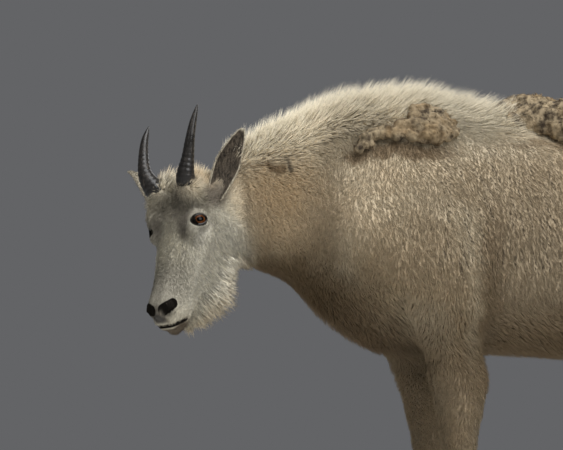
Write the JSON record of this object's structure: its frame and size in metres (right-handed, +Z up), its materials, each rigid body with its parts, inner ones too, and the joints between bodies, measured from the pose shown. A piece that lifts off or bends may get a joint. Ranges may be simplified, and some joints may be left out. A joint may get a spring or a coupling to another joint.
{
  "type": "mountain goat model",
  "caption": "Life-size standing mountain goat in short summer coat, head lowered and turned left, with black horns, cloven hooves and clinging patches of shed wool.",
  "frame": {"origin": "on the floor below the middle of the bounding box", "axes": "+Z up, nose towards -X, the goat's left side towards -Y"},
  "size_m": [1.2942, 0.3678, 0.8683],
  "materials": {
    "coat": "dense cream-white hair",
    "horn": "satin black horn",
    "hoof": "dull dark hoof horn",
    "eye": "glossy amber-brown eye"
  },
  "bodies": {
    "root": {"ear_left": "coat", "ear_right": "coat", "eye_left": "eye", "eye_right": "eye", "fore_left_cannon": "coat", "fore_left_claw_inner": "hoof", "fore_left_claw_outer": "hoof", "fore_left_dewclaw_inner": "hoof", "fore_left_dewclaw_outer": "hoof", "fore_left_forearm": "coat", "fore_left_pastern": "coat", "fore_left_upper_arm": "coat", "fore_right_cannon": "coat", "fore_right_claw_inner": "hoof", "fore_right_claw_outer": "hoof", "fore_right_dewclaw_inner": "hoof", "fore_right_dewclaw_outer": "hoof", "fore_right_forearm": "coat", "fore_right_pastern": "coat", "fore_right_upper_arm": "coat", "head": "coat", "hind_left_cannon": "coat", "hind_left_claw_inner": "hoof", "hind_left_claw_outer": "hoof", "hind_left_dewclaw_inner": "hoof", "hind_left_dewclaw_outer": "hoof", "hind_left_pastern": "coat", "hind_left_shank": "coat", "hind_left_thigh": "coat", "hind_right_cannon": "coat", "hind_right_claw_inner": "hoof", "hind_right_claw_outer": "hoof", "hind_right_dewclaw_inner": "hoof", "hind_right_dewclaw_outer": "hoof", "hind_right_pastern": "coat", "hind_right_shank": "coat", "hind_right_thigh": "coat", "horn_left": "horn", "horn_right": "horn", "lower_jaw": "coat", "neck": "coat", "tail": "coat", "torso_barrel": "coat", "torso_chest": "coat", "torso_rump": "coat"}
  },
  "joints": []
}
